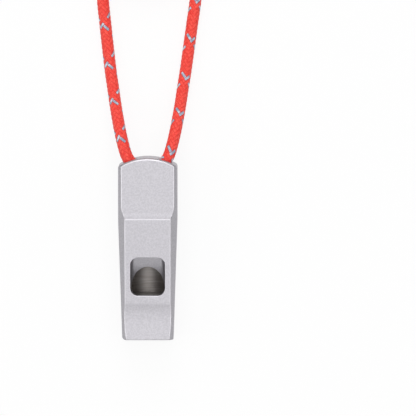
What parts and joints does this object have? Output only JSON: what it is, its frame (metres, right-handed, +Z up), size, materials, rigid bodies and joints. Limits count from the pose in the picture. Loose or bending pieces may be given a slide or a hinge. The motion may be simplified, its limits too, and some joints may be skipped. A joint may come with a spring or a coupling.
{
  "type": "survival whistle",
  "caption": "Flat-sided metal survival whistle with a sound window, a bite groove and a domed head threaded on a braided neck cord.",
  "frame": {"origin": "under the middle of the whistle's body, on the surface that it lies on", "axes": "+X across the body, +Y along it from the mouth end to the domed head, +Z up, out of the front face"},
  "size_m": [0.0279, 0.178, 0.0128],
  "materials": {
    "blasted_titanium": "bead-blasted satin",
    "machined_titanium": "as bored",
    "braided_cord": "braided, with reflective tracers",
    "tie_band": "woven"
  },
  "bodies": {
    "root": {"whistle_body": "blasted_titanium", "windway_plug": "machined_titanium", "cord_loop": "braided_cord", "cord_hank": "braided_cord", "cord_knot": "braided_cord", "hank_tie": "tie_band"}
  },
  "joints": []
}
